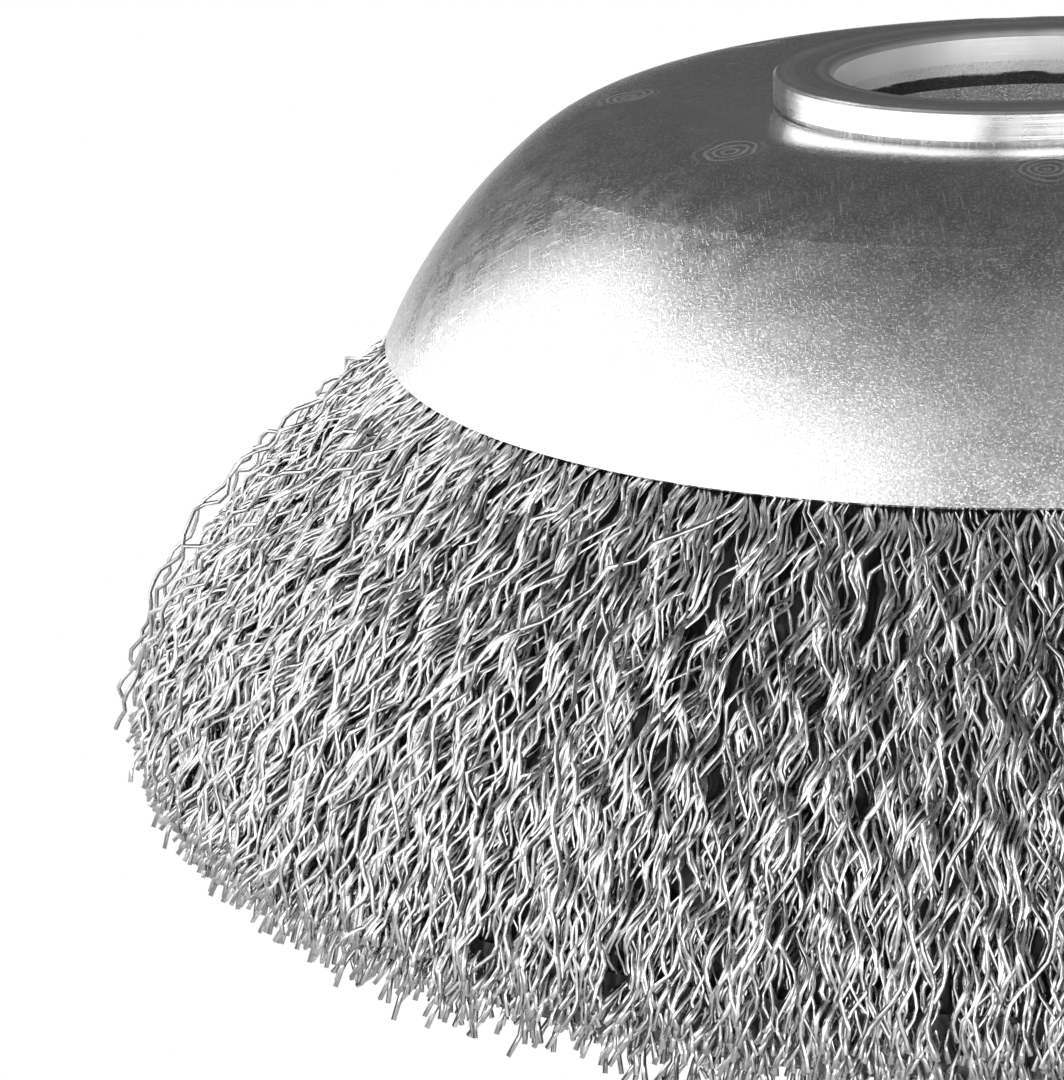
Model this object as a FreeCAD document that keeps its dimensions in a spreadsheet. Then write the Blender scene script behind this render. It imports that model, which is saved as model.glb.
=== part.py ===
import FreeCAD, Part

import math
import os

import Sketcher

# A bell-shaped crimped wire brush for a brushcutter. A pressed sheet cup and a clamp
# plate, spot-welded together at the crown, hold a bundle of crimped steel wires that
# is folded over a round wire ring. A turned collar on the crown fits the arbor.
#
# Lengths are in millimetres. +Z points up along the arbor axis. The origin is on that
# axis, in the plane of the crown's seat under the collar. The brush stands on its tips.

doc = FreeCAD.newDocument("WireBrush")

SIZES = [
    # arbor collar
    ("bore_dia", 25.4, "hole for the arbor, one inch"),
    ("collar_wall", 4.05, "bore to the collar's outside"),
    ("collar_height", 2.1, "collar's thickness, up from the seat"),
    ("collar_edge", 0.2, "broken outer edges of the collar"),
    ("bore_lead", 0.45, "lead-in chamfer at the top of the bore"),
    # pressed cup, whose widths follow each other outward from the collar
    ("cup_sheet", 0.8, "sheet thickness of the cup"),
    ("cup_height", 14.7, "rim below the seat of the collar"),
    ("seat_margin", 0.55, "collar to the seat's edge"),
    ("dish_width", 7.3, "seat's edge to the crest, the crown's highest line"),
    ("shoulder_width", 9.1, "crest to the circle where the wall begins"),
    ("wall_width", 9.85, "start of the wall to the rim"),
    ("crest_rise", 0.85, "crest above the seat"),
    ("shoulder_radius", 14.5, "outside radius over the crest"),
    # spot welds between cup and clamp plate
    ("weld_count", 8, "number of spot welds"),
    ("weld_shift", 1.9, "weld centres beyond the crest"),
    ("weld_turn", 2.5, "first weld past the +X side, degrees"),
    ("weld_ball", 20.0, "radius of the electrode's tip"),
    ("weld_depth", 0.15, "depth of the print it leaves"),
    # clamp plate inside the cup
    ("plate_sheet", 1.0, "sheet thickness of the plate"),
    ("hole_margin", 0.5, "plate's hole beyond the bore"),
    ("plate_gap", 0.1, "play between plate and cup beside the seat"),
    ("plate_margin", 0.4, "plate's flat seat, wider than the cup's"),
    ("plate_fall", 3.0, "crest to the circle where the plate's crown ends"),
    ("plate_bend", 3.0, "outside radius of the bend into the flange"),
    ("flange_lean", 12.0, "lean of the flange from the axis, degrees"),
    ("flange_depth", 13.6, "end of the straight flange below the seat"),
    ("lip_radius", 2.2, "outside radius at the rolled lip"),
    ("lip_rise", 35.0, "lip's end below the level, degrees"),
    ("lip_length", 1.0, "straight end of the lip"),
    # ring that the wires are folded over
    ("ring_wire", 3.2, "thickness of the ring's wire"),
    ("ring_play", 1.34, "wires between the ring and the plate's flange"),
    ("ring_depth", 7.5, "centre of the ring below the seat"),
    # crimped wire fill
    ("fill_gap", 0.2, "play between the fill and the metal round it"),
    ("fold_thickness", 1.15, "wires over the top of the ring"),
    ("tip_depth", 44.9, "wire tips below the seat"),
    ("flare_width", 19.2, "cup's rim to the widest circle of the wires"),
    ("widest_height", 6.4, "widest circle above the tips"),
    ("flare_bow", 3.0, "outward bow of the flare at its middle"),
    ("tip_bevel", 6.5, "rounded outer corner of the tips, measured inward"),
    ("tip_width", 21.25, "widest circle to the inner edge of the tips"),
    ("inner_bow", 1.2, "outward bow of the fill's inner side"),
    ("inner_bevel", 1.2, "inner corner of the tips, cut back"),
    ("ridge_count", 90, "crimped ridges round the flare"),
    ("ridge_height", 1.4, "ridges above the valleys"),
    ("ridge_onset", 0.2, "part of the flare where the ridges reach their height"),
    ("crimp_swing", 0.28, "sideways swing of a ridge, parts of its pitch"),
    ("crimp_bends", 10, "bends of a ridge down the flare"),
]

sheet = doc.addObject("Spreadsheet::Sheet", "Sizes")
for row, (alias, value, note) in enumerate(SIZES, start=1):
    sheet.set(f"A{row}", note)
    sheet.set(f"B{row}", str(value))
    sheet.setAlias(f"B{row}", alias)
doc.recompute()


def size(alias):
    """The number that the sheet holds for an alias."""
    return float(sheet.get(alias))


def angle_vector(degrees):
    """The unit vector that leans by an angle from +Z towards +X, as (x, z)."""
    turn = math.radians(degrees)
    return math.sin(turn), math.cos(turn)


def plane_of(body, role):
    """One of a body's own origin planes."""
    return [item for item in body.Origin.OriginFeatures if item.Role == role][0]


class Outline:
    """A closed outline in a body's XZ plane, where x is a radius and y is a height."""

    def __init__(self, body, name):
        self.sketch = body.newObject("Sketcher::SketchObject", name)
        self.sketch.AttachmentSupport = [(plane_of(body, "XZ_Plane"), "")]
        self.sketch.MapMode = "FlatFace"
        self.ends = []

    def line(self, start, end):
        """Adds a straight side and returns its number."""
        side = Part.LineSegment(FreeCAD.Vector(*start, 0), FreeCAD.Vector(*end, 0))
        self.ends.append((1, 2))
        return self.sketch.addGeometry(side)

    def arc(self, start, end, centre, leftward):
        """Adds an arc that turns left or right on its way and returns its number."""
        middle = FreeCAD.Vector(*centre, 0)
        first = FreeCAD.Vector(*start, 0) - middle
        last = FreeCAD.Vector(*end, 0) - middle
        angles = [math.atan2(first.y, first.x), math.atan2(last.y, last.x)]
        if not leftward:
            angles.reverse()
        circle = Part.Circle(middle, FreeCAD.Vector(0, 0, 1), first.Length)
        self.ends.append((1, 2) if leftward else (2, 1))
        return self.sketch.addGeometry(Part.ArcOfCircle(circle, *angles))

    def bind(self, kind, name, expression, *parts):
        """Adds a constraint whose size is an expression of the sheet's aliases."""
        number = self.sketch.addConstraint(Sketcher.Constraint(kind, *parts, 1.0))
        self.sketch.renameConstraint(number, name)
        self.sketch.setExpression(f"Constraints.{name}", expression)

    def place(self, name, side, end, across=None, up=None):
        """Holds an end (1 or 2) or a centre (3) of a side by expressions of x and y."""
        if across is not None:
            self.bind("DistanceX", name + "_across", across, -1, 1, side, end)
        if up is not None:
            self.bind("DistanceY", name + "_up", up, -1, 1, side, end)

    def relate(self, kind, *parts):
        """Adds a constraint that has no size."""
        self.sketch.addConstraint(Sketcher.Constraint(kind, *parts))

    def join(self, smooth=()):
        """Joins each side to the next one, and tangentially after the sides in smooth."""
        count = len(self.ends)
        for side in range(count):
            following = (side + 1) % count
            kind = "Tangent" if side in smooth else "Coincident"
            self.relate(kind, side, self.ends[side][1], following, self.ends[following][0])


def revolved(label, sketch, body):
    """Turns an outline about the arbor axis and returns the feature."""
    feature = body.newObject("PartDesign::Revolution", label + "_turned")
    feature.Profile = sketch
    feature.ReferenceAxis = (sketch, ["V_Axis"])
    feature.Angle = 360
    return feature


def touching_slope(start, centre, radius):
    """The slope, in degrees below the level, of the line from a point over a circle."""
    across, up = centre[0] - start[0], centre[1] - start[1]
    rise = math.atan2(up, across) + math.asin(radius / math.hypot(across, up))
    return -math.degrees(rise)


def on_circle(centre, radius, slope):
    """The point of a circle where its outline falls by an angle below the level."""
    across, up = angle_vector(slope)
    return centre[0] + radius * across, centre[1] + radius * up


def below(point, slope, depth):
    """The point under another one, square to a surface of that slope."""
    across, up = angle_vector(slope)
    return point[0] - depth * across, point[1] - depth * up


def smooth_arc(start, slope, end):
    """Centre and radius of the arc that leaves a point along a slope and meets an end."""
    across, up = angle_vector(slope)
    step = (end[0] - start[0], end[1] - start[1])
    radius = -(step[0] ** 2 + step[1] ** 2) / (2 * (step[0] * across + step[1] * up))
    return (start[0] - radius * across, start[1] - radius * up), radius


def slope_on(centre, point):
    """The slope of a circle's outline at one of its points."""
    return math.degrees(math.atan2(point[0] - centre[0], point[1] - centre[1]))


def outward(*widths):
    """The radius past the bore by the named widths, as a number and an expression."""
    value = size("bore_dia") / 2 + sum(size(width) for width in widths)
    return value, " + ".join(["Sizes.bore_dia / 2"] + [f"Sizes.{width}" for width in widths])


TO_SEAT = ("collar_wall", "seat_margin")
TO_CREST = TO_SEAT + ("dish_width",)
TO_WALL = TO_CREST + ("shoulder_width",)
TO_RIM = TO_WALL + ("wall_width",)
collar_radius, COLLAR_ACROSS = outward("collar_wall")
seat_radius, SEAT_ACROSS = outward(*TO_SEAT)
crest_radius, CREST_ACROSS = outward(*TO_CREST)
_, WALL_ACROSS = outward(*TO_WALL)
rim_radius, RIM_ACROSS = outward(*TO_RIM)
widest_radius, _ = outward(*TO_RIM, "flare_width")
crest_centre = (crest_radius, size("crest_rise") - size("shoulder_radius"))
CREST_UP = "Sizes.crest_rise - Sizes.shoulder_radius"
CROWN = "Sizes.shoulder_radius - Sizes.cup_sheet - Sizes.plate_gap"
tip_level = -size("tip_depth")

# sections of the wire fill: over the fold, down the cup's wall and round the tips
FOLD_ANGLES = (0, 30, 60, 90)
FOLD_BACK_ANGLE = -60
WALL_SHARES = (0.35, 0.7)
TIP_SECTIONS = ((30, 0.7), (60, 0.45), (90, 0.3))


def cup_path():
    """Corners, slopes and arc centres of the cup's outside, from the bore to the rim."""
    radius = size("shoulder_radius")
    seat = (seat_radius, 0)
    dish = touching_slope(seat, crest_centre, radius)
    steep = math.degrees(math.asin(size("shoulder_width") / radius))
    junction = on_circle(crest_centre, radius, steep)
    rim = (rim_radius, -size("cup_height"))
    wall_centre, wall_radius = smooth_arc(junction, steep, rim)
    return {
        "bore": (size("bore_dia") / 2, 0),
        "seat": seat,
        "dish": dish,
        "touch": on_circle(crest_centre, radius, dish),
        "steep": steep,
        "junction": junction,
        "rim": rim,
        "rim_slope": slope_on(wall_centre, rim),
        "wall_centre": wall_centre,
        "wall_radius": wall_radius,
    }


def plate_path():
    """Corners, slopes and arc centres of the clamp plate's side towards the wires."""
    top = -size("cup_sheet")
    crown = size("shoulder_radius") - size("cup_sheet") - size("plate_gap")
    seat = (seat_radius + size("plate_margin"), top)
    dish = touching_slope(seat, crest_centre, crown)
    fall = math.degrees(math.asin(size("plate_fall") / crown))
    crest_end = on_circle(crest_centre, crown, fall)
    bend_centre = below(crest_end, fall, size("plate_bend"))
    steep = 90 - size("flange_lean")
    bend_end = on_circle(bend_centre, size("plate_bend"), steep)
    drop = bend_end[1] + size("flange_depth")
    lean = math.tan(math.radians(size("flange_lean")))
    flange_end = (bend_end[0] + drop * lean, bend_end[1] - drop)
    lip_centre = below(flange_end, steep, -size("lip_radius"))
    lip_start = below(lip_centre, size("lip_rise"), size("lip_radius"))
    across, up = angle_vector(size("lip_rise"))
    lip_end = (
        lip_start[0] + size("lip_length") * up,
        lip_start[1] - size("lip_length") * across,
    )
    return {
        "hole": (size("bore_dia") / 2 + size("hole_margin"), top),
        "seat": seat,
        "dish": dish,
        "touch": on_circle(crest_centre, crown, dish),
        "fall": fall,
        "crest_end": crest_end,
        "bend_centre": bend_centre,
        "steep": steep,
        "bend_end": bend_end,
        "flange_end": flange_end,
        "lip_centre": lip_centre,
        "lip_start": lip_start,
        "lip_end": lip_end,
    }


def make_arbor_collar():
    """The turned ring on the crown."""
    body = doc.addObject("PartDesign::Body", "arbor_collar")
    outline = Outline(body, "collar_outline")
    bore = size("bore_dia") / 2
    outer = collar_radius
    lead = size("bore_lead")
    edge = size("collar_edge")
    top = size("collar_height")
    corners = [
        (bore, 0),
        (outer - edge, 0),
        (outer, edge),
        (outer, top - edge),
        (outer - edge, top),
        (bore + lead, top),
        (bore, top - lead),
    ]
    for number, corner in enumerate(corners):
        outline.line(corner, corners[(number + 1) % len(corners)])
    outline.join()
    outline.relate("Horizontal", 0)
    outline.relate("Vertical", 2)
    outline.relate("Horizontal", 4)
    outline.relate("Vertical", 6)
    outline.place("bore", 0, 1, "Sizes.bore_dia / 2", "0")
    outline.place("low_edge", 0, 2, f"{COLLAR_ACROSS} - Sizes.collar_edge")
    outline.place("outside", 2, 1, COLLAR_ACROSS, "Sizes.collar_edge")
    outline.place("high_corner", 2, 2, None, "Sizes.collar_height - Sizes.collar_edge")
    outline.place("high_edge", 4, 1, f"{COLLAR_ACROSS} - Sizes.collar_edge")
    outline.place("face", 4, 2, "Sizes.bore_dia / 2 + Sizes.bore_lead", "Sizes.collar_height")
    outline.place("lead", 6, 1, None, "Sizes.collar_height - Sizes.bore_lead")
    revolved("collar", outline.sketch, body)
    return body


def make_cup_shell():
    """The pressed cup: flat seat, shallow dish up to the crest, shoulder and wall."""
    body = doc.addObject("PartDesign::Body", "cup_shell")
    outline = Outline(body, "cup_outline")
    path = cup_path()
    thick = size("cup_sheet")
    inner_rim = below(path["rim"], path["rim_slope"], thick)
    inner_junction = below(path["junction"], path["steep"], thick)
    inner_touch = below(path["touch"], path["dish"], thick)
    spread = thick * math.tan(math.radians(-path["dish"] / 2))
    inner_seat = (path["seat"][0] + spread, -thick)
    inner_bore = (path["bore"][0], -thick)
    outline.line(path["bore"], path["seat"])
    outline.line(path["seat"], path["touch"])
    outline.arc(path["touch"], path["junction"], crest_centre, leftward=False)
    outline.arc(path["junction"], path["rim"], path["wall_centre"], leftward=False)
    outline.line(path["rim"], inner_rim)
    outline.arc(inner_rim, inner_junction, path["wall_centre"], leftward=True)
    outline.arc(inner_junction, inner_touch, crest_centre, leftward=True)
    outline.line(inner_touch, inner_seat)
    outline.line(inner_seat, inner_bore)
    outline.line(inner_bore, path["bore"])
    outline.join(smooth=(1, 2, 5, 6))
    outline.relate("Horizontal", 0)
    outline.relate("Horizontal", 8)
    outline.relate("Vertical", 9)
    outline.relate("Parallel", 7, 1)
    outline.relate("Coincident", 5, 3, 3, 3)
    outline.relate("Coincident", 6, 3, 2, 3)
    outline.relate("PointOnObject", 3, 3, 4)
    outline.place("bore", 0, 1, "Sizes.bore_dia / 2", "0")
    outline.place("seat", 0, 2, SEAT_ACROSS)
    outline.place("crest", 2, 3, CREST_ACROSS, CREST_UP)
    outline.bind("Radius", "shoulder", "Sizes.shoulder_radius", 2)
    outline.place("junction", 3, 2, WALL_ACROSS)
    outline.place("rim", 4, 1, RIM_ACROSS, "-Sizes.cup_height")
    outline.bind("Distance", "rim_edge", "Sizes.cup_sheet", 4)
    outline.place("under_seat", 8, 1, None, "-Sizes.cup_sheet")
    revolved("cup", outline.sketch, body)
    doc.recompute()
    press_weld_prints(body, outline.sketch)
    return body


def press_weld_prints(body, sketch):
    """Shallow dents of the spot welds, square to the crown, in a circle on its crest."""
    lean = "Sizes.weld_shift / Sizes.shoulder_radius"
    reach = "(Sizes.shoulder_radius + Sizes.weld_ball - Sizes.weld_depth)"
    out = f"({CREST_ACROSS} + {reach} * {lean})"
    dent = body.newObject("PartDesign::SubtractiveSphere", "weld_print")
    dent.AttachmentSupport = [(plane_of(body, "XY_Plane"), "")]
    dent.MapMode = "FlatFace"
    dent.setExpression("Radius", "Sizes.weld_ball")
    dent.setExpression("AttachmentOffset.Base.x", f"{out} * cos(Sizes.weld_turn)")
    dent.setExpression("AttachmentOffset.Base.y", f"{out} * sin(Sizes.weld_turn)")
    dent.setExpression("AttachmentOffset.Base.z", f"{CREST_UP} + {reach} * sqrt(1 - ({lean})^2)")
    circle = body.newObject("PartDesign::PolarPattern", "weld_circle")
    circle.Originals = [dent]
    circle.Axis = (sketch, ["V_Axis"])
    circle.Angle = 360
    circle.setExpression("Occurrences", "Sizes.weld_count")
    body.Tip = circle


def make_clamp_plate():
    """The pressed plate: it lies under the crown and its flange holds the wires out."""
    body = doc.addObject("PartDesign::Body", "clamp_plate")
    outline = Outline(body, "plate_outline")
    path = plate_path()
    thick = size("plate_sheet")
    lip = size("lip_rise")
    back_end = below(path["lip_end"], lip, thick)
    back_lip = below(path["lip_start"], lip, thick)
    back_flange = below(path["flange_end"], path["steep"], thick)
    back_bend = below(path["bend_end"], path["steep"], thick)
    back_crest = below(path["crest_end"], path["fall"], thick)
    back_touch = below(path["touch"], path["dish"], thick)
    spread = thick * math.tan(math.radians(-path["dish"] / 2))
    back_seat = (path["seat"][0] + spread, path["seat"][1] - thick)
    back_hole = (path["hole"][0], path["hole"][1] - thick)
    outline.line(path["hole"], path["seat"])
    outline.line(path["seat"], path["touch"])
    outline.arc(path["touch"], path["crest_end"], crest_centre, leftward=False)
    outline.arc(path["crest_end"], path["bend_end"], path["bend_centre"], leftward=False)
    outline.line(path["bend_end"], path["flange_end"])
    outline.arc(path["flange_end"], path["lip_start"], path["lip_centre"], leftward=True)
    outline.line(path["lip_start"], path["lip_end"])
    outline.line(path["lip_end"], back_end)
    outline.line(back_end, back_lip)
    outline.arc(back_lip, back_flange, path["lip_centre"], leftward=False)
    outline.line(back_flange, back_bend)
    outline.arc(back_bend, back_crest, path["bend_centre"], leftward=True)
    outline.arc(back_crest, back_touch, crest_centre, leftward=True)
    outline.line(back_touch, back_seat)
    outline.line(back_seat, back_hole)
    outline.line(back_hole, path["hole"])
    outline.join(smooth=(1, 2, 3, 4, 5, 8, 9, 10, 11, 12))
    outline.relate("Horizontal", 0)
    outline.relate("Horizontal", 14)
    outline.relate("Vertical", 15)
    outline.relate("Parallel", 8, 6)
    outline.relate("Parallel", 10, 4)
    outline.relate("Parallel", 13, 1)
    outline.relate("Perpendicular", 7, 6)
    outline.relate("Coincident", 9, 3, 5, 3)
    outline.relate("Coincident", 11, 3, 3, 3)
    outline.relate("Coincident", 12, 3, 2, 3)
    outline.place(
        "hole", 0, 1, "Sizes.bore_dia / 2 + Sizes.hole_margin", "-Sizes.cup_sheet"
    )
    outline.place("seat", 0, 2, f"{SEAT_ACROSS} + Sizes.plate_margin")
    outline.place("crest", 2, 3, CREST_ACROSS, CREST_UP)
    outline.bind("Radius", "crown", CROWN, 2)
    outline.place("crest_end", 3, 2, f"{CREST_ACROSS} + Sizes.plate_fall")
    outline.bind("Radius", "bend", "Sizes.plate_bend", 3)
    outline.bind("Angle", "flange_lean", "(Sizes.flange_lean - 90) * 1 deg", 4)
    outline.place("flange_end", 4, 2, None, "-Sizes.flange_depth")
    outline.bind("Radius", "lip", "Sizes.lip_radius", 5)
    outline.bind("Angle", "lip_rise", "-Sizes.lip_rise * 1 deg", 6)
    outline.bind("Distance", "lip_length", "Sizes.lip_length", 6)
    outline.bind("Distance", "edge", "Sizes.plate_sheet", 7)
    outline.place("back", 14, 1, None, "-Sizes.cup_sheet - Sizes.plate_sheet")
    revolved("plate", outline.sketch, body)
    return body


def ring_centre():
    """Radius and level of the fold ring's centre line, beside the plate's flange."""
    path = plate_path()
    slope = math.radians(size("flange_lean"))
    drop = path["bend_end"][1] + size("ring_depth")
    across = path["bend_end"][0] + drop * math.tan(slope)
    across += (size("ring_wire") / 2 + size("ring_play")) / math.cos(slope)
    return across, -size("ring_depth")


def make_fold_ring():
    """The round wire ring that each crimped wire is folded over."""
    ring = doc.addObject("Part::Torus", "fold_ring")
    fall = f"sqrt(1 - (Sizes.plate_fall / ({CROWN}))^2)"
    bend_across = (
        f"{CREST_ACROSS} + Sizes.plate_fall * (1 - Sizes.plate_bend / ({CROWN}))"
        " + Sizes.plate_bend * cos(Sizes.flange_lean)"
    )
    bend_up = (
        f"{CREST_UP} + ({CROWN} - Sizes.plate_bend) * {fall}"
        " + Sizes.plate_bend * sin(Sizes.flange_lean)"
    )
    beside = "(Sizes.ring_wire / 2 + Sizes.ring_play) / cos(Sizes.flange_lean)"
    slope = "tan(Sizes.flange_lean)"
    ring.setExpression(
        "Radius1", f"{bend_across} + ({bend_up} + Sizes.ring_depth) * {slope} + {beside}"
    )
    ring.setExpression("Radius2", "Sizes.ring_wire / 2")
    ring.setExpression("Placement.Base.z", "-Sizes.ring_depth")
    return ring


def cup_inside(level):
    """Radius at a level on the fill's side of the gap along the cup's inner wall."""
    path = cup_path()
    rise = level - path["wall_centre"][1]
    reach = path["wall_radius"] - size("cup_sheet") - size("fill_gap")
    return path["wall_centre"][0] + math.sqrt(reach**2 - rise**2)


def fill_stations():
    """Radius, level, ridge share and swing side of each section of the fill's outside."""
    ring = ring_centre()
    fold = size("ring_wire") / 2 + size("fold_thickness")
    stations = []
    for angle in FOLD_ANGLES:
        radius, level = on_circle(ring, fold, angle)
        stations.append((min(radius, cup_inside(level)), level, 0, 0))
    fold_side = stations[-1][1]

    # along the cup's wall to its rim
    path = cup_path()
    exit_point = below(path["rim"], path["rim_slope"], size("cup_sheet") + size("fill_gap"))
    for share in WALL_SHARES:
        level = fold_side + share * (exit_point[1] - fold_side)
        stations.append((cup_inside(level), level, 0, 0))
    stations.append((exit_point[0], exit_point[1], 0, 0))

    # the bell: bent outward at once, then ever steeper down to the widest circle
    widest = (widest_radius, tip_level + size("widest_height"))
    bends = int(size("crimp_bends"))
    for bend in range(1, bends + 1):
        share = bend / bends
        bow = 4 * size("flare_bow") * share * (1 - share)
        radius = exit_point[0] + share * (widest[0] - exit_point[0]) + bow
        level = exit_point[1] + share * (widest[1] - exit_point[1])
        ridge = min(1, share / size("ridge_onset"))
        stations.append((radius, level, ridge, (-1) ** bend))

    # the trimmed tips' rounded outer corner, where the ridges run out
    side = (-1) ** (bends + 1)
    for angle, ridge in TIP_SECTIONS:
        up, across = angle_vector(angle)
        radius = widest[0] - size("tip_bevel") * (1 - across)
        stations.append((radius, widest[1] - size("widest_height") * up, ridge, side * across))
    return stations


def ridged_section(radius, level, ridge, swing):
    """A closed outline round the axis with a crest and a valley for each ridge."""
    count = int(size("ridge_count"))
    pitch = 2 * math.pi / count
    turn = swing * size("crimp_swing") * pitch
    corners = []
    for number in range(2 * count):
        reach = radius - (number % 2) * ridge * size("ridge_height")
        angle = turn + number * pitch / 2
        corners.append(FreeCAD.Vector(reach * math.cos(angle), reach * math.sin(angle), level))
    return Part.makePolygon(corners + corners[:1])


def fill_hollow():
    """Everything inside the fill: the clamp plate's room and the open middle below it."""
    path = plate_path()
    gap = size("fill_gap")
    ring = ring_centre()
    fold = size("ring_wire") / 2 + size("fold_thickness")
    fold_top = (ring[0], ring[1] + fold)
    fold_back = on_circle(ring, fold, FOLD_BACK_ANGLE)
    flange_top = (path["flange_end"][0] + gap, path["flange_end"][1])
    lean = math.tan(math.radians(size("flange_lean")))
    flange_back = (flange_top[0] - lean * (ring[1] - flange_top[1]), ring[1])
    lip_start = below(path["lip_start"], size("lip_rise"), -gap)
    lip_end = (path["lip_end"][0] + gap, path["lip_end"][1] + gap)
    lip_under = (lip_end[0], path["lip_end"][1] - size("plate_sheet") - gap)
    tip = widest_radius - size("tip_width")
    corner = (tip, tip_level + size("inner_bevel"))
    middle = (
        (lip_under[0] + corner[0]) / 2 + size("inner_bow"),
        (lip_under[1] + corner[1]) / 2,
    )
    past_tips = (tip + 2 * size("inner_bevel"), tip_level - size("inner_bevel"))

    def at(point):
        return FreeCAD.Vector(point[0], 0, point[1])

    over = (fold_top[0], fold_top[1] + fold)
    straight = [
        ((0, over[1]), over),
        (over, fold_top),
        (fold_top, fold_back),
        (fold_back, flange_back),
        (flange_back, flange_top),
        (flange_top, lip_start),
        (lip_start, lip_end),
        (lip_end, lip_under),
        (corner, past_tips),
        (past_tips, (0, past_tips[1])),
        ((0, past_tips[1]), (0, over[1])),
    ]
    edges = [Part.makeLine(at(start), at(end)) for start, end in straight]
    edges.append(Part.Arc(at(lip_under), at(middle), at(corner)).toShape())
    profile = Part.Face(Part.Wire(Part.__sortEdges__(edges)))
    return profile.revolve(FreeCAD.Vector(0, 0, 0), FreeCAD.Vector(0, 0, 1), 360)


def make_wire_fill():
    """The crimped wires as one solid: folded over the ring, flared and trimmed."""
    sections = [ridged_section(*station) for station in fill_stations()]
    outside = Part.makeLoft(sections, True, True)
    across, level = ring_centre()
    ring_room = Part.makeTorus(
        across, size("ring_wire") / 2 + size("fill_gap") / 2, FreeCAD.Vector(0, 0, level)
    )
    fill = doc.addObject("Part::Feature", "wire_fill")
    fill.Shape = outside.cut([fill_hollow(), ring_room])
    fill.Placement = FreeCAD.Placement()
    return fill


pieces = [
    make_arbor_collar(),
    make_cup_shell(),
    make_clamp_plate(),
    make_fold_ring(),
    make_wire_fill(),
]
doc.recompute()

for item in doc.Objects:
    if "Invalid" in item.State or "Error" in item.State:
        raise RuntimeError(f"{item.Name} did not build: {item.State}")
os.makedirs("parts", exist_ok=True)
for piece in pieces:
    piece.Label = piece.Name
    if piece.Shape.isNull() or not piece.Shape.isValid():
        raise RuntimeError(f"{piece.Label} has no valid shape")
for piece in pieces:
    piece.Shape.exportStep(f"parts/{piece.Label}.step")
    print(piece.Label, round(piece.Shape.Volume, 1), len(piece.Shape.Solids))
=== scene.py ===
import math

import bpy
import numpy as np
from mathutils import Matrix, Vector


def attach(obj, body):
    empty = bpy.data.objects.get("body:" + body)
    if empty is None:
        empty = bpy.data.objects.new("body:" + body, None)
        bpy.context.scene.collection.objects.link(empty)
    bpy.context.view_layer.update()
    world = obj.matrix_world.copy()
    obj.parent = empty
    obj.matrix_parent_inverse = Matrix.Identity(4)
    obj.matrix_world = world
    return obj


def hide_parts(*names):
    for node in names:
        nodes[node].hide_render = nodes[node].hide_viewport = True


# Looks of a bell-shaped crimped wire brush: the plated cup, collar and plate keep the solids of the
# CAD model, and the wires are drawn one by one over a core painted dark as the shade deep in the
# bundle.
# Lengths are in metres. The origin is on the arbor axis in the plane of the collar's seat.

MM = 0.001

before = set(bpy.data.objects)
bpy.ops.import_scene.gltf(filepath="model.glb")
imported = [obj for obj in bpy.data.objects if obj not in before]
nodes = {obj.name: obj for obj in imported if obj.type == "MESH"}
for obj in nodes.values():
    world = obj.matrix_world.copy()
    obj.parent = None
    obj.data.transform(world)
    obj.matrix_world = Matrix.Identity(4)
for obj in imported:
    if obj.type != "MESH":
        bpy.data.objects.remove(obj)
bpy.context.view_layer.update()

# shape of the wire bundle, from the CAD model's sizes, in millimetres
CUP_EXIT = (42.5, -15.2)
CUP_WALL = (41.3, -12.6)
WIDEST = (62.55, -38.4)
FLARE_BOW = 3.0
TIP_LEVEL = -44.85
TIP_BEVEL = 6.5
TIP_INNER = 41.6
TIP_CORNER = 0.3
LIP_EXIT = (34.5, -17.0)
INNER_BOW = 1.2
BOX_LIMIT = 62.65
RIDGES = 90
RIDGE_HEIGHT = 1.4
RIDGE_SWING = 0.28
RIDGE_BENDS = 10
RIDGE_ONSET = 0.2

# wires
WIRE_RADIUS = 0.175
CRIMP_PITCH = 4.6
CRIMP_SWING = 0.37
CRIMP_PHASES = ((2.2, 31, 1.0), (1.6, 53, 4.0), (1.3, 83, 2.0))
CRIMP_STRAY = 0.55
CRIMP_STRAIGHTNESS = 25
CRIMP_START_RUN = 30
CRIMP_PLANE = 0.8
PITCH_SPREAD = 0.06
SWING_SPREAD = (0.6, 1.35)
SWAY_SIZE = 0.45
SWAY_LENGTHS = (3, 8)
SWAY_STARTS = 6.3
NECK_SHARE = 0.02
NECK_FADE = 0.12
LIFT_MEAN = 0.05
LIFT_SPREAD = 0.12
RIDGE_FOLLOW = 0.65
SURFACE_MARGIN = 1.2
TRIM_SPREAD = 0.012
TUFT_TURN = 0.008
TUFT_DEPTH = 0.008
TUFT_CROWDING = 1.35
TUFT_LEAN = 0.09
WIRE_LEAN = 0.04
SHELL_DEPTH = 0.075
CORE_DEPTH = 1.5
SECTORS = 8
LOOSE_SHARE = 0.13
LOOSE_LEAN = -0.3
LOOSE_LEAN_SPREAD = 0.2
STRAY_LIFT = 2.6
STRAY_ARC = 2.4
RISE_DEPTH = 1.6
RISE_SHARE = 0.12

# corners of the dark core at the cup's neck and over the plate's lip
CORE_NECK = [(39.6, -11.4), (41.0, -13.2)]
CORE_LIP = [(34.9, -15.2), (33.9, -12.8)]
CORE_INNER_GAP = 0.8
CORE_INNER_TOP = -16.0
CORE_RIDGE_FOLLOW = 0.8
CORE_TIP_DEPTHS = (0.0, 0.1, 0.2, 0.3, 0.6, 0.95)
CORE_INNER_SHARES = (1.0, 0.8, 0.6, 0.4, 0.2, 0.0)


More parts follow.
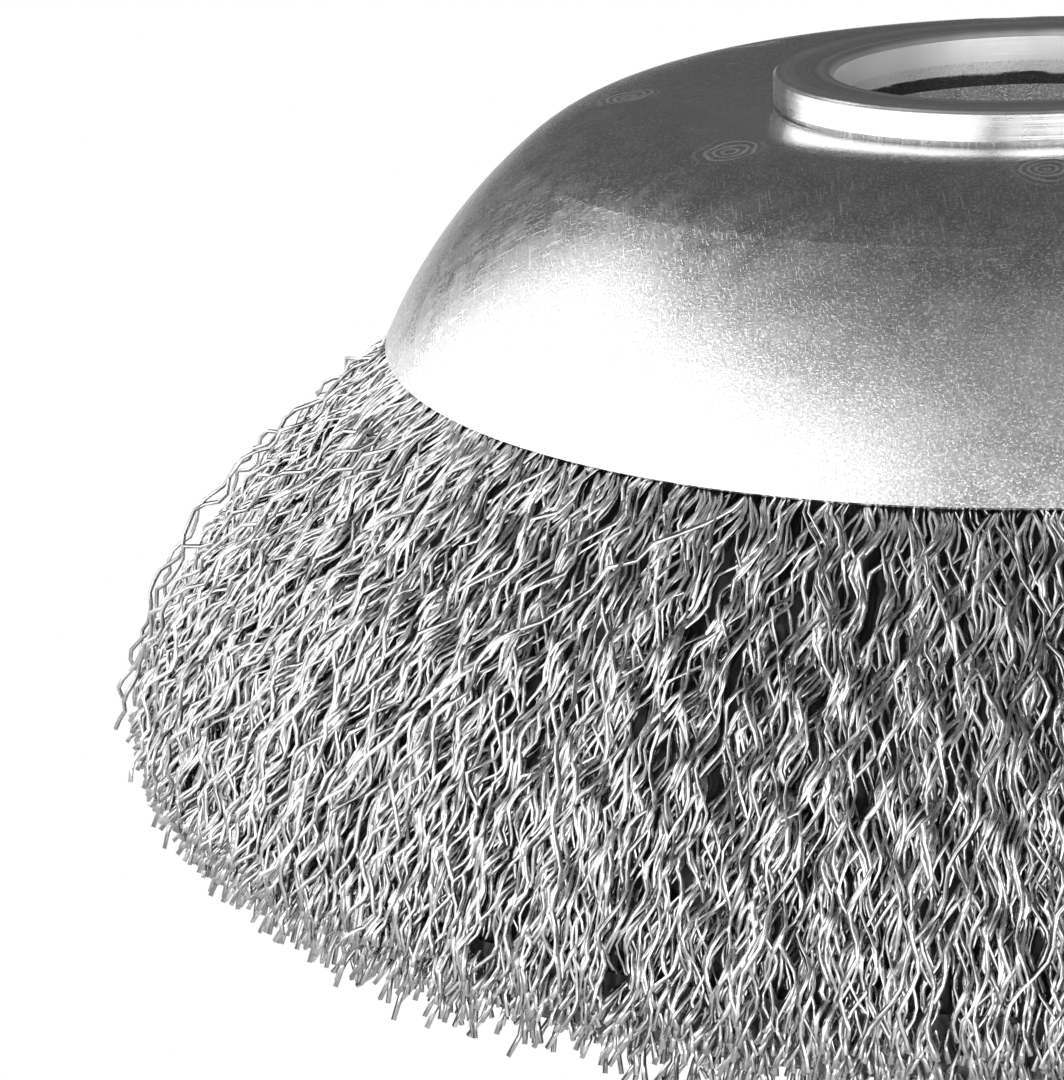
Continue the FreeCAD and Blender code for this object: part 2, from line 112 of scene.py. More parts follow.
def outer_curve(share):
    """Radius and level of the bundle's outside; share is 0 at the cup and 1 at the tips."""
    bow = 4 * FLARE_BOW * np.clip(share, 0, 1) * (1 - np.clip(share, 0, 1))
    radius = CUP_EXIT[0] + share * (WIDEST[0] - CUP_EXIT[0]) + bow
    level = CUP_EXIT[1] + share * (WIDEST[1] - CUP_EXIT[1])
    inside = np.clip(-share / 0.1, 0, 1)
    radius = np.where(share < 0, CUP_EXIT[0] + inside * (CUP_WALL[0] - CUP_EXIT[0]), radius)
    level = np.where(share < 0, CUP_EXIT[1] + inside * (CUP_WALL[1] - CUP_EXIT[1]), level)
    return radius, level


def inner_curve(share):
    """Radius and level of the bundle's inner side along the same shares."""
    bow = 4 * INNER_BOW * np.clip(share, 0, 1) * (1 - np.clip(share, 0, 1))
    radius = LIP_EXIT[0] + share * (TIP_INNER - LIP_EXIT[0]) + bow
    level = LIP_EXIT[1] + share * (TIP_LEVEL - LIP_EXIT[1])
    return radius, level


def tip_place(depth):
    """Radius and level of the trimmed tips; depth is 0 outside and 1 at the inner side."""
    turn = np.clip(depth / TIP_CORNER, 0, 1) * math.pi / 2
    flat = np.clip((depth - TIP_CORNER) / (1 - TIP_CORNER), 0, 1)
    face = WIDEST[0] - TIP_BEVEL
    radius = face + TIP_BEVEL * np.cos(turn) - flat * (face - TIP_INNER)
    level = WIDEST[1] - (WIDEST[1] - TIP_LEVEL) * np.sin(turn)
    return radius, level


def bundle_path(share, depth):
    """Radius and level inside the bundle, between its outside and its inner side."""
    outer = outer_curve(share)
    inner = inner_curve(share)
    ends = [curve(np.ones_like(depth)) for curve in (outer_curve, inner_curve)]
    tips = tip_place(depth)
    ease = np.clip(share, 0, None) ** 2
    radius = (1 - depth) * outer[0] + depth * inner[0]
    level = (1 - depth) * outer[1] + depth * inner[1]
    radius = radius + ease * (tips[0] - (1 - depth) * ends[0][0] - depth * ends[1][0])
    level = level + ease * (tips[1] - (1 - depth) * ends[0][1] - depth * ends[1][1])
    return radius, level


def crimp_wave(phase):
    """A wave between a sine and a zigzag, with rounded bends."""
    return np.sin(phase) - np.sin(3 * phase) / CRIMP_STRAIGHTNESS


def crimp_phase(azimuth):
    """Phase of the crimp at an azimuth: neighbours bend together, far tufts apart."""
    return sum(size * np.sin(waves * azimuth + start) for size, waves, start in CRIMP_PHASES)


def ridge_drop(turn, share):
    """How far the bundle's crimped ridges lie below its crests at an azimuth and share."""
    bends = np.arange(RIDGE_BENDS + 1)
    swing = np.interp(np.clip(share, 0, 1) * RIDGE_BENDS, bends, (-1.0) ** bends * RIDGE_SWING)
    place = turn * RIDGES / (2 * math.pi) - swing
    valley = 2 * np.abs(place - np.round(place))
    return valley * RIDGE_HEIGHT * np.clip(share / RIDGE_ONSET, 0, 1)


def wire_points(rng, azimuth, depth, first, last, count, lean, trim, stand_off):
    """Centre lines of many crimped wires as an array of wires, points and x, y, z."""
    wires = len(azimuth)
    step = np.linspace(0, 1, count)[None, :]
    share = first + (last - first) * step + np.zeros((wires, 1))
    share = share + trim[:, None] * np.clip((share - 0.5) / 0.5, 0, 1)
    radius, level = bundle_path(share, depth[:, None] + np.zeros_like(share))
    run = np.cumsum(
        np.hypot(np.diff(radius, axis=1, prepend=radius[:, :1]),
                 np.diff(level, axis=1, prepend=level[:, :1])), axis=1)
    sway = rng.normal(0, SWAY_SIZE, wires)[:, None] * np.sin(
        run / rng.uniform(*SWAY_LENGTHS, wires)[:, None]
        + rng.uniform(0, SWAY_STARTS, wires)[:, None])
    fade = np.clip((share + NECK_SHARE) / NECK_FADE, 0, 1)
    sideways = (lean[:, None] * run + sway) * fade
    pitch = rng.normal(1.0, PITCH_SPREAD, wires)[:, None] * CRIMP_PITCH
    start = crimp_phase(azimuth) + rng.normal(0, CRIMP_STRAY, wires)
    phase = 2 * math.pi * (run + first * CRIMP_START_RUN) / pitch + start[:, None]
    swing = crimp_wave(phase) * CRIMP_SWING * rng.uniform(*SWING_SPREAD, wires)[:, None]
    plane = rng.uniform(-CRIMP_PLANE, CRIMP_PLANE, wires)[:, None]
    across = swing * np.cos(plane)
    outward = swing * np.sin(plane)
    slope_r = np.gradient(radius, axis=1)
    slope_z = np.gradient(level, axis=1)
    length = np.hypot(slope_r, slope_z)
    normal_r, normal_z = -slope_z / length, slope_r / length
    turn = azimuth[:, None] + (sideways + across) / radius
    on_surface = depth[:, None] < SHELL_DEPTH * SURFACE_MARGIN
    sink = RIDGE_FOLLOW * ridge_drop(turn, share) * on_surface
    lift = rng.normal(LIFT_MEAN, LIFT_SPREAD, wires)[:, None] * np.clip(share, 0, 1) - sink
    off = stand_off * rng.uniform(0.1, 1, wires)[:, None]
    off = off * np.sin(np.clip(share, 0, 1) * STRAY_ARC)
    if first > 0:
        off = off - RISE_DEPTH * np.clip(1 - (share - first) / RISE_SHARE, 0, 1)
    radius = radius + (outward + lift + off) * normal_r * fade
    level = level + (outward + lift + off) * normal_z * fade
    return np.stack([radius * np.cos(turn), radius * np.sin(turn), level], axis=2)


def keep_in_box(points):
    """Bends wires that would leave the model's box back to its faces."""
    points[..., 0] = np.clip(points[..., 0], -BOX_LIMIT + WIRE_RADIUS, BOX_LIMIT - WIRE_RADIUS)
    points[..., 1] = np.clip(points[..., 1], -BOX_LIMIT + WIRE_RADIUS, BOX_LIMIT - WIRE_RADIUS)
    points[..., 2] = np.clip(points[..., 2], TIP_LEVEL + WIRE_RADIUS, None)
    return points


def tube_mesh(name, points, tones, rng):
    """One mesh of three-sided tubes round the centre lines, with a tone for each wire."""
    wires, count = points.shape[:2]
    along = np.gradient(points, axis=1)
    along /= np.linalg.norm(along, axis=2, keepdims=True)
    middle = points.mean(axis=1)
    radial = middle * np.array([1, 1, 0])
    radial /= np.linalg.norm(radial, axis=1, keepdims=True)
    side = np.cross(along, radial[:, None, :])
    side /= np.linalg.norm(side, axis=2, keepdims=True)
    other = np.cross(along, side)
    roll = rng.uniform(0, 2 * math.pi, wires)[:, None]
    rings = []
    for corner in range(3):
        angle = roll + corner * 2 * math.pi / 3
        rings.append(
            points
            + WIRE_RADIUS * (np.cos(angle)[..., None] * side + np.sin(angle)[..., None] * other)
        )
    vertices = np.stack(rings, axis=2).reshape(-1, 3) * MM
    wire, place, corner = np.meshgrid(
        np.arange(wires), np.arange(count - 1), np.arange(3), indexing="ij")
    base = (wire * count + place) * 3
    following = (corner + 1) % 3
    quads = np.stack(
        [base + corner, base + following, base + 3 + following, base + 3 + corner], axis=-1)
    quads = quads.reshape(-1, 4)
    last = (np.arange(wires) * count + count - 1) * 3
    caps = np.stack([last, last + 1, last + 2], axis=-1)
    mesh = bpy.data.meshes.new(name)
    mesh.vertices.add(len(vertices))
    mesh.vertices.foreach_set("co", vertices.astype(np.float32).ravel())
    mesh.loops.add(quads.size + caps.size)
    mesh.loops.foreach_set(
        "vertex_index", np.concatenate([quads.ravel(), caps.ravel()]).astype(np.int32))
    mesh.polygons.add(len(quads) + len(caps))
    starts = np.concatenate(
        [np.arange(len(quads)) * 4, quads.size + np.arange(len(caps)) * 3])
    mesh.polygons.foreach_set("loop_start", starts.astype(np.int32))
    mesh.update(calc_edges=True)
    mesh.polygons.foreach_set("use_smooth", np.ones(len(quads) + len(caps), bool))
    tone = mesh.attributes.new("tone", "FLOAT", "POINT")
    tone.data.foreach_set("value", np.repeat(tones, count * 3).astype(np.float32))
    piece = bpy.data.objects.new(name, mesh)
    bpy.context.scene.collection.objects.link(piece)
    return piece


def outer_wires(rng, total):
    """Azimuth, depth and lean of the wires that show, spread evenly in small tufts."""
    tufts = total // 2
    places = (np.arange(tufts) + rng.uniform(-0.5, 0.5, tufts)) / tufts
    azimuth = np.repeat(2 * math.pi * places, 2) + rng.normal(0, TUFT_TURN, 2 * tufts)
    depth = np.repeat(SHELL_DEPTH * rng.uniform(0, 1, tufts) ** TUFT_CROWDING, 2)
    depth = np.clip(depth + rng.normal(0, TUFT_DEPTH, 2 * tufts), 0, 1)
    lean = np.repeat(rng.normal(0, TUFT_LEAN, tufts), 2)
    lean = lean + rng.normal(0, WIRE_LEAN, 2 * tufts)
    loose = rng.uniform(0, 1, 2 * tufts) < LOOSE_SHARE
    lean = np.where(loose, rng.normal(LOOSE_LEAN, LOOSE_LEAN_SPREAD, 2 * tufts), lean)
    return azimuth, depth, lean


def draw_wires(name, seed, azimuth, depth, lean, first, last, count, stand_off=0.0):
    """Draws wires as one mesh for each sector of the brush and returns the pieces."""
    pieces = []
    sector = np.floor((azimuth % (2 * math.pi)) / (2 * math.pi) * SECTORS).astype(int)
    for number in range(SECTORS):
        rng = np.random.default_rng(seed + number)
        chosen = np.nonzero(sector == number)[0]
        trim = rng.normal(0, TRIM_SPREAD, len(chosen))
        points = wire_points(
            rng, azimuth[chosen], depth[chosen], first, last, count, lean[chosen], trim,
            stand_off)
        tones = rng.uniform(0, 1, len(chosen))
        pieces.append(tube_mesh(f"{name}_{number + 1}", keep_in_box(points), tones, rng))
    return pieces


# each group of wires has a seed of its own, and runs from its first share of the flare to
# its last; a risen group is its number of wires, its first share and the points of a wire
OUTER_WIRES = 1640
RISEN_GROUPS = ((780, 0.18, 37), (860, 0.42, 28))
RISEN_SEED = 500
RISEN_SEED_STEP = 100

rng = np.random.default_rng(11)
azimuth, depth, lean = outer_wires(rng, OUTER_WIRES)
wire_pieces = draw_wires(
    "wires_outer", 100, azimuth, depth, lean, first=-0.08, last=1.0, count=44)

# as the bell widens, more wires come to its surface
for number, (count, start, points) in enumerate(RISEN_GROUPS):
    azimuth, depth, lean = outer_wires(rng, count)
    wire_pieces += draw_wires(
        f"wires_risen_{number + 1}", RISEN_SEED + RISEN_SEED_STEP * number,
        azimuth, depth, lean, first=start, last=1.0, count=points)

TIP_WIRES = 4200
TIP_DEPTH_SPAN = 0.98
TIP_LEAN = 0.1
azimuth = rng.uniform(0, 2 * math.pi, TIP_WIRES)
depth = 1 - np.sqrt(rng.uniform(0, 1, TIP_WIRES)) * TIP_DEPTH_SPAN
lean = rng.normal(0, TIP_LEAN, TIP_WIRES)
wire_pieces += draw_wires(
    "wires_tip", 200, azimuth, depth, lean, first=0.86, last=1.0, count=5)

# a few wires stand off the flare
STRAY_WIRES = 70
STRAY_LEAN = -0.3
STRAY_LEAN_SPREAD = 0.35
azimuth = rng.uniform(0, 2 * math.pi, STRAY_WIRES)
depth = np.zeros(STRAY_WIRES)
lean = rng.normal(STRAY_LEAN, STRAY_LEAN_SPREAD, STRAY_WIRES)
wire_pieces += draw_wires(
    "wires_stray", 400, azimuth, depth, lean, first=0.0, last=1.0, count=36,
    stand_off=STRAY_LIFT)

INNER_WIRES = 600
INNER_DEPTH = 0.04
INNER_LEAN = 0.07
azimuth = rng.uniform(0, 2 * math.pi, INNER_WIRES)
depth = 1 - INNER_DEPTH * rng.uniform(0, 1, INNER_WIRES)
lean = rng.normal(0, INNER_LEAN, INNER_WIRES)
wire_pieces += draw_wires(
    "wires_inner", 300, azimuth, depth, lean, first=0.0, last=1.0, count=18)


def ring_body(name, outline, columns, shares):
    """A closed body round the axis; shares says where its outline carries the ridges."""
    rows = len(outline)
    turns = 2 * math.pi * np.arange(columns) / columns
    vertices = []
    for turn in turns:
        for (radius, level), share in zip(outline, shares):
            reach = radius
            if share is not None:
                reach -= CORE_RIDGE_FOLLOW * float(ridge_drop(np.array(turn), np.array(share)))
            vertices.append((reach * math.cos(turn) * MM, reach * math.sin(turn) * MM, level * MM))
    faces = []
    for column in range(columns):
        this, following = column * rows, (column + 1) % columns * rows
        for row in range(rows):
            below = (row + 1) % rows
            faces.append((this + row, this + below, following + below, following + row))
    mesh = bpy.data.meshes.new(name)
    mesh.from_pydata(vertices, [], faces)
    mesh.update()
    piece = bpy.data.objects.new(name, mesh)
    bpy.context.scene.collection.objects.link(piece)
    return piece


def core_outline():
    """Outline of the dark core just under the wires, with each point's share or None."""
    shares = np.linspace(0, 0.97, 2 * RIDGE_BENDS)
    points, marks = list(CORE_NECK), [None, None]
    for share in shares:
        radius, level = outer_curve(np.array(share))
        down = math.atan2(WIDEST[0] - CUP_EXIT[0], CUP_EXIT[1] - WIDEST[1])
        points.append((
            float(radius) - CORE_DEPTH * math.cos(down), float(level) - CORE_DEPTH * math.sin(down)))
        marks.append(float(share))
    for depth in CORE_TIP_DEPTHS:
        radius, level = tip_place(np.array(depth))
        points.append((float(radius) - CORE_DEPTH * (1 - depth), float(level) + CORE_DEPTH))
        marks.append(None)
    for share in CORE_INNER_SHARES:
        radius, level = inner_curve(np.array(share))
        inner_level = min(float(level) + CORE_DEPTH, CORE_INNER_TOP)
        points.append((float(radius) + CORE_INNER_GAP, inner_level))
        marks.append(None)
    return points + CORE_LIP, marks + [None, None]


# the core is a dark body of painted shade under the drawn wires
outline, marks = core_outline()
core = ring_body("wire_core", outline, 4 * RIDGES, marks)


class Shader:
    """One material made of nodes."""

    def __init__(self, name):
        self.material = bpy.data.materials.new(name)
        self.material.use_nodes = True
        self.tree = self.material.node_tree
        self.surface = self.tree.nodes["Principled BSDF"]

    def put(self, socket, value):
        """Sets an input to a plain value or links it to another node's output."""
        if isinstance(value, bpy.types.NodeSocket):
            self.tree.links.new(value, socket)
        else:
            socket.default_value = value

    def node(self, kind, inputs, **settings):
        """Adds a node, fills its inputs by name or number, and returns it."""
        made = self.tree.nodes.new(kind)
        for key, value in settings.items():
            setattr(made, key, value)
        for key, value in inputs.items():
            self.put(made.inputs[key], value)
        return made

    def math(self, operation, *values):
        """The result of a sum on one to three values."""
        made = self.tree.nodes.new("ShaderNodeMath")
        made.operation = operation
        for number, value in enumerate(values):
            self.put(made.inputs[number], value)
        return made.outputs[0]

    def place(self):
        """The point's own coordinates in metres."""
        return self.node("ShaderNodeTexCoord", {}).outputs["Object"]

    def noise(self, vector, scale, detail=2.0, roughness=0.5):
        """Soft noise from 0 to 1 at that scale."""
        made = self.node(
            "ShaderNodeTexNoise",
            {"Vector": vector, "Scale": scale, "Detail": detail, "Roughness": roughness},
        )
        return made.outputs["Fac"]

    def stretched(self, vector, scales, turn):
        """Coordinates turned and then scaled unevenly, for scratches."""
        sizes = [1 / scale for scale in scales]
        made = self.node(
            "ShaderNodeMapping", {"Vector": vector, "Rotation": turn, "Scale": sizes},
            vector_type="TEXTURE",
        )
        return made.outputs["Vector"]

    def remap(self, value, low, high, to_low, to_high):
        """Value moved from one range to another and held there."""
        made = self.node(
            "ShaderNodeMapRange",
            {0: value, 1: low, 2: high, 3: to_low, 4: to_high},
        )
        return made.outputs[0]

    def bump(self, height, distance):
        """A bumped normal at full strength."""
        inputs = {"Height": height, "Distance": distance, "Strength": 1.0}
        return self.node("ShaderNodeBump", inputs).outputs["Normal"]

    def grey(self, value):
        """A grey colour of that level."""
        return self.node(
            "ShaderNodeCombineColor", {"Red": value, "Green": value, "Blue": value}
        ).outputs[0]


def polar(shader, place):
    """Radius, azimuth and height of a point."""
    parts = shader.node("ShaderNodeSeparateXYZ", {0: place}).outputs
    squares = shader.math(
        "ADD", shader.math("MULTIPLY", parts[0], parts[0]),
        shader.math("MULTIPLY", parts[1], parts[1]))
    return shader.math("SQRT", squares), shader.math("ARCTAN2", parts[1], parts[0]), parts[2]


WELD_CIRCLE = 26.5 * MM
WELD_TURN = math.radians(2.5)
WELD_STEP = math.radians(45)
WELD_SIZE = 2.3 * MM
WELD_LINES = 4.2

# radii where a finish changes or where painted light and shade begin, and the heights of the finest
# relief
PLATE_EDGE = (13.4 * MM, 13.7 * MM)
CROWN_EDGE = (20 * MM, 25 * MM)
COLLAR_BORE = (12.9 * MM, 13.3 * MM)
COLLAR_WALL = (16.5 * MM, 16.7 * MM)
SHEET_RELIEF = 0.011 * MM
TURNED_RELIEF = 0.014 * MM
CORE_RELIEF = 0.3 * MM


def weld_rings(shader, place):
    """Fine raised lines in each spot weld's print."""
    radius, azimuth, _ = polar(shader, place)
    turn = shader.math("DIVIDE", shader.math("SUBTRACT", azimuth, WELD_TURN), WELD_STEP)
    fold = shader.math("SUBTRACT", turn, shader.math("ROUND", turn))
    across = shader.math("MULTIPLY", fold, WELD_STEP * WELD_CIRCLE)
    out = shader.math("SUBTRACT", radius, WELD_CIRCLE)
    far = shader.math(
        "SQRT", shader.math("ADD", shader.math("MULTIPLY", across, across),
                            shader.math("MULTIPLY", out, out)))
    warp = shader.math("MULTIPLY", shader.noise(place, 420.0, 1.0), 0.55)
    reach = shader.math("ADD", shader.math("DIVIDE", far, WELD_SIZE), warp)
    rings = shader.math("SINE", shader.math("MULTIPLY", reach, 2 * math.pi * WELD_LINES))
    mask = shader.remap(reach, 1.12, 1.34, 1.0, 0.0)
    return shader.math("MULTIPLY", shader.remap(rings, -0.2, 0.9, 0.0, 1.0), mask)


def plated_sheet():
    """Bright zinc on pressed sheet: fine grain, faint blotches, scratches, weld prints, with painted
    light on the upper bore wall and painted shade below it.
    """
    shader = Shader("zinc_plated_sheet")
    place = shader.place()
    grain = shader.noise(place, 7000.0, 3.0, 0.65)
    blotch = shader.noise(place, 420.0, 4.0, 0.65)
    cloud = shader.noise(place, 60.0, 2.0, 0.5)
    marks = []
    for turn, scales in (
        ((0.3, 0.2, 0.5), (260.0, 9000.0, 9000.0)),
        ((0.2, -0.4, 1.7), (320.0, 9600.0, 9600.0)),
        ((-0.3, 0.5, 2.6), (240.0, 8400.0, 8400.0)),
    ):
        streak = shader.noise(shader.stretched(place, scales, turn), 1.0, 1.0, 0.4)
        marks.append(shader.remap(streak, 0.61, 0.74, 0.0, 1.0))
    scratch = shader.math("MAXIMUM", marks[0], shader.math("MAXIMUM", marks[1], marks[2]))
    rings = weld_rings(shader, place)
    radius, _, height = polar(shader, place)
    edge = shader.remap(radius, *PLATE_EDGE, 1.0, 0.0)
    # painted light and shade in the bore: a fuzzy line near the bottom of the cup's sheet splits the
    # hole's wall into a lighter part above and a darker part below
    light_shade_split = shader.math("ADD", height, shader.math("MULTIPLY", blotch, 0.9 * MM))
    sheet = shader.remap(light_shade_split, -0.6 * MM, -0.4 * MM, 0.0, 1.0)
    painted_bore_light = shader.math("MULTIPLY", edge, sheet)
    painted_bore_shade = shader.math("SUBTRACT", edge, painted_bore_light)
    speckle = shader.noise(place, 6000.0, 2.0, 0.6)
    tone = shader.math("ADD", 0.36, shader.math("MULTIPLY", blotch, 0.14))
    tone = shader.math("ADD", tone, shader.math("MULTIPLY", cloud, 0.20))
    tone = shader.math("MULTIPLY", tone, shader.remap(speckle, 0.35, 0.65, 0.84, 1.2))
    tone = shader.math("ADD", tone, shader.math("MULTIPLY", rings, 0.35))
    tone = shader.math("ADD", tone, shader.math("MULTIPLY", scratch, 0.4))
    # painted light: the upper bore wall is made lighter, as if lit through the hole
    tone = shader.math("ADD", tone, shader.math("MULTIPLY", painted_bore_light, 0.35))
    # painted shade: the plate's hole edge below the line is darkened, as if in shadow
    tone = shader.math("MULTIPLY", tone, shader.remap(painted_bore_shade, 0.0, 1.0, 1.0, 0.12))
    shader.put(shader.surface.inputs["Base Color"], shader.grey(tone))
    shader.surface.inputs["Metallic"].default_value = 1.0
    rough = shader.remap(blotch, 0.35, 0.65, 0.23, 0.32)
    rough = shader.math("MULTIPLY", rough, shader.remap(radius, *CROWN_EDGE, 0.45, 1.0))
    rough = shader.math("ADD", rough, shader.math("MULTIPLY", edge, 0.25))
    rough = shader.math("ADD", rough, shader.math("MULTIPLY", rings, 0.12))
    shader.put(shader.surface.inputs["Roughness"], rough)
    even = shader.remap(radius, *CROWN_EDGE, 0.35, 1.0)
    relief = shader.math("ADD", grain, shader.math("MULTIPLY", scratch, 0.5))
    relief = shader.math("MULTIPLY", relief, even)
    relief = shader.math("ADD", relief, shader.math("MULTIPLY", rings, 1.6))
    shader.put(shader.surface.inputs["Normal"], shader.bump(relief, SHEET_RELIEF))
    return shader.material


def turned_steel():
    """The collar's turned faces: fine marks round the axis and small nicks, with painted light on
    the bore and the outer wall.
    """
    shader = Shader("turned_steel")
    place = shader.place()
    radius, _, height = polar(shader, place)
    lathe = shader.node(
        "ShaderNodeCombineXYZ",
        {"X": shader.math("MULTIPLY", radius, 5200.0), "Z": shader.math("MULTIPLY", height, 4200.0)},
    ).outputs[0]
    marks = shader.noise(lathe, 1.0, 3.0, 0.6)
    broad = shader.node(
        "ShaderNodeCombineXYZ",
        {"X": shader.math("MULTIPLY", radius, 900.0), "Z": shader.math("MULTIPLY", height, 700.0)},
    ).outputs[0]
    bands = shader.remap(shader.noise(broad, 1.0, 2.0, 0.5), 0.36, 0.64, 0.25, 0.8)
    blotch = shader.noise(place, 420.0, 3.0, 0.6)
    tone = shader.math("ADD", 0.02, shader.math("MULTIPLY", bands, 0.95))
    tone = shader.math("ADD", tone, shader.math("MULTIPLY", marks, 0.18))
    tone = shader.math("ADD", tone, shader.math("MULTIPLY", blotch, 0.10))
    # painted light: the bore's wall is made lighter, as if lit through the hole
    painted_bore_light = shader.remap(radius, *COLLAR_BORE, 1.0, 0.0)
    tone = shader.math("ADD", tone, shader.math("MULTIPLY", painted_bore_light, 0.3))
    # painted light: the outer wall is made lighter than the top face, as if lit from the front and
    # the floor
    painted_wall_light = shader.remap(radius, *COLLAR_WALL, 0.0, 1.0)
    tone = shader.math("ADD", tone, shader.math("MULTIPLY", painted_wall_light, 0.2))
    shader.put(shader.surface.inputs["Base Color"], shader.grey(tone))
    shader.surface.inputs["Metallic"].default_value = 1.0
    rough = shader.remap(blotch, 0.3, 0.7, 0.22, 0.32)
    rough = shader.math("ADD", rough, shader.math("MULTIPLY", painted_bore_light, 0.16))
    shader.put(shader.surface.inputs["Roughness"], rough)
    relief = shader.math("ADD", marks, shader.math("MULTIPLY", blotch, 0.6))
    shader.put(shader.surface.inputs["Normal"], shader.bump(relief, TURNED_RELIEF))
    return shader.material


def drawn_wire(name, dark, bright):
    """Drawn steel wire: each wire has its own tone, with fine dull spots along it."""
    shader = Shader(name)
    place = shader.place()
    own = shader.node("ShaderNodeAttribute", {}, attribute_name="tone").outputs["Fac"]
    spots = shader.noise(place, 1600.0, 2.0, 0.6)
    tone = shader.remap(own, 0.0, 1.0, dark, bright)
    tone = shader.math("MULTIPLY", tone, shader.remap(spots, 0.3, 0.7, 0.8, 1.0))
    shader.put(shader.surface.inputs["Base Color"], shader.grey(tone))
    shader.surface.inputs["Metallic"].default_value = 1.0
    shader.put(shader.surface.inputs["Roughness"], shader.remap(spots, 0.3, 0.7, 0.18, 0.30))
    return shader.material


def core_look():
    """The inside of the bundle, where more wires are guessed than seen, painted dark as the shade
    among the deeper wires.
    """
    shader = Shader("wire_core")
    place = shader.place()
    radius, azimuth, height = polar(shader, place)
    slant = shader.math("MULTIPLY", shader.noise(place, 420.0, 2.0), 0.03)
    strands = shader.node(
        "ShaderNodeCombineXYZ",
        {
            "X": shader.math("MULTIPLY", shader.math("ADD", azimuth, slant), 90.0),
            "Z": shader.math("MULTIPLY", height, 180.0),
        },
    ).outputs[0]
    lines = shader.noise(strands, 1.0, 2.0, 0.6)
    cells = shader.node("ShaderNodeTexVoronoi", {"Vector": place, "Scale": 1900.0})
    dots = shader.remap(cells.outputs["Distance"], 0.18, 0.42, 0.5, 0.0)
    dots = shader.math("MULTIPLY", dots, shader.remap(height, -42.4 * MM, -41.4 * MM, 1.0, 0.0))
    # painted shade: the strands are kept very dark, standing in for the shade deep in the bundle
    tone = shader.math("ADD", shader.remap(lines, 0.4, 0.7, 0.015, 0.13), dots)
    shader.put(shader.surface.inputs["Base Color"], shader.grey(tone))
    shader.surface.inputs["Metallic"].default_value = 0.6
    shader.surface.inputs["Roughness"].default_value = 0.6
    shader.put(shader.surface.inputs["Normal"], shader.bump(lines, CORE_RELIEF))
    return shader.material


def dress(piece, material):
    """Gives a piece one material."""
    piece.data.materials.clear()
    piece.data.materials.append(material)


zinc = plated_sheet()
dress(nodes["cup_shell"], zinc)
dress(nodes["clamp_plate"], zinc)
dress(nodes["arbor_collar"], turned_steel())
dress(nodes["fold_ring"], drawn_wire("ring_steel", 0.45, 0.5))
wire_look = drawn_wire("crimped_wire", 0.55, 0.92)
for piece in wire_pieces:
    dress(piece, wire_look)
    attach(piece, "root")
dress(core, core_look())
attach(core, "root")
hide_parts("wire_fill")


def emitter(name, level, seen_level=None):
    """A plain white glowing material, with another level for the camera if one is given."""
    material = bpy.data.materials.new(name)
    material.use_nodes = True
    tree = material.node_tree
    tree.nodes.clear()
    glow = tree.nodes.new("ShaderNodeEmission")
    glow.inputs["Strength"].default_value = level
    out = tree.nodes.new("ShaderNodeOutputMaterial")
    tree.links.new(glow.outputs[0], out.inputs["Surface"])
    if seen_level is not None:
        path = tree.nodes.new("ShaderNodeLightPath")
        span = tree.nodes.new("ShaderNodeMapRange")
        tree.links.new(path.outputs["Is Camera Ray"], span.inputs[0])
        span.inputs[3].default_value = level
        span.inputs[4].default_value = seen_level
        tree.links.new(span.outputs[0], glow.inputs["Strength"])
    return material


def stage_mesh(name, vertices, faces, material):
    """A sheet of the stage, which isn't part of the object."""
    mesh = bpy.data.meshes.new(name)
    mesh.from_pydata(vertices, [], faces)
    mesh.materials.append(material)
    sheet = bpy.data.objects.new(name, mesh)
    bpy.context.scene.collection.objects.link(sheet)
    return sheet


PANEL_DISTANCE = 0.9


def curved_panel(name, start, end, low, high, level, lean):
    """A glowing panel bent round the object between two azimuths and two elevations."""
    steps = 24
    vertices, faces = [], []
    for step in range(steps + 1):
        for elevation, last in ((low, end), (high, end + lean)):
            turn = math.radians(start + (last - start) * step / steps)
            rise = math.radians(elevation)
            out = PANEL_DISTANCE * math.cos(rise)
            vertices.append((
                out * math.cos(turn), out * math.sin(turn), PANEL_DISTANCE * math.sin(rise)))
    for step in range(steps):
        corner = 2 * step
        faces.append((corner, corner + 1, corner + 3, corner + 2))
    panel = stage_mesh(name, vertices, faces, emitter(name, level))
    panel.visible_camera = False
    return panel


FLOOR_LEVEL = -45.0 * MM
FLOOR_HOLE = 63 * MM
FLOOR_RADIUS = 3.0
FULL_TURN = (0, 360)
BRIGHT_SWEEP = (-232, -20)
BRIGHT_RADII = (0.13, 0.7)
BRIGHT_RISE = 2 * MM
BELOW_RADII = (5 * MM, 0.3)
BELOW_DROP = 0.25
SURROUNDING_LIGHT = 0.13

# name, two azimuths and two elevations in degrees, level, and the lean of the last side
PANELS = (
    ("softbox_left", -110, -224, -2, 44, 2.3, 20),
    ("softbox_front", -100, -40, 0, 22, 3.4, 0),
    ("glow_left", -106, -180, 44, 54, 0.8, 0),
    ("glow_high", -104, -190, 54, 64, 0.4, 0),
    ("glow_top", -102, -176, 64, 76, 0.24, 0),
    ("glow_front", -106, -30, 23, 70, 0.5, 0),
)


def flat_ring(name, inner, outer, height, sweep, material):
    """A flat ring round the object's axis, or the part of it between two azimuths."""
    steps = 48
    vertices, faces = [], []
    for step in range(steps + 1):
        turn = math.radians(sweep[0] + (sweep[1] - sweep[0]) * step / steps)
        for radius in (inner, outer):
            vertices.append((radius * math.cos(turn), radius * math.sin(turn), height))
    for step in range(steps):
        corner = 2 * step
        faces.append((corner, corner + 1, corner + 3, corner + 2))
    return stage_mesh(name, vertices, faces, material)


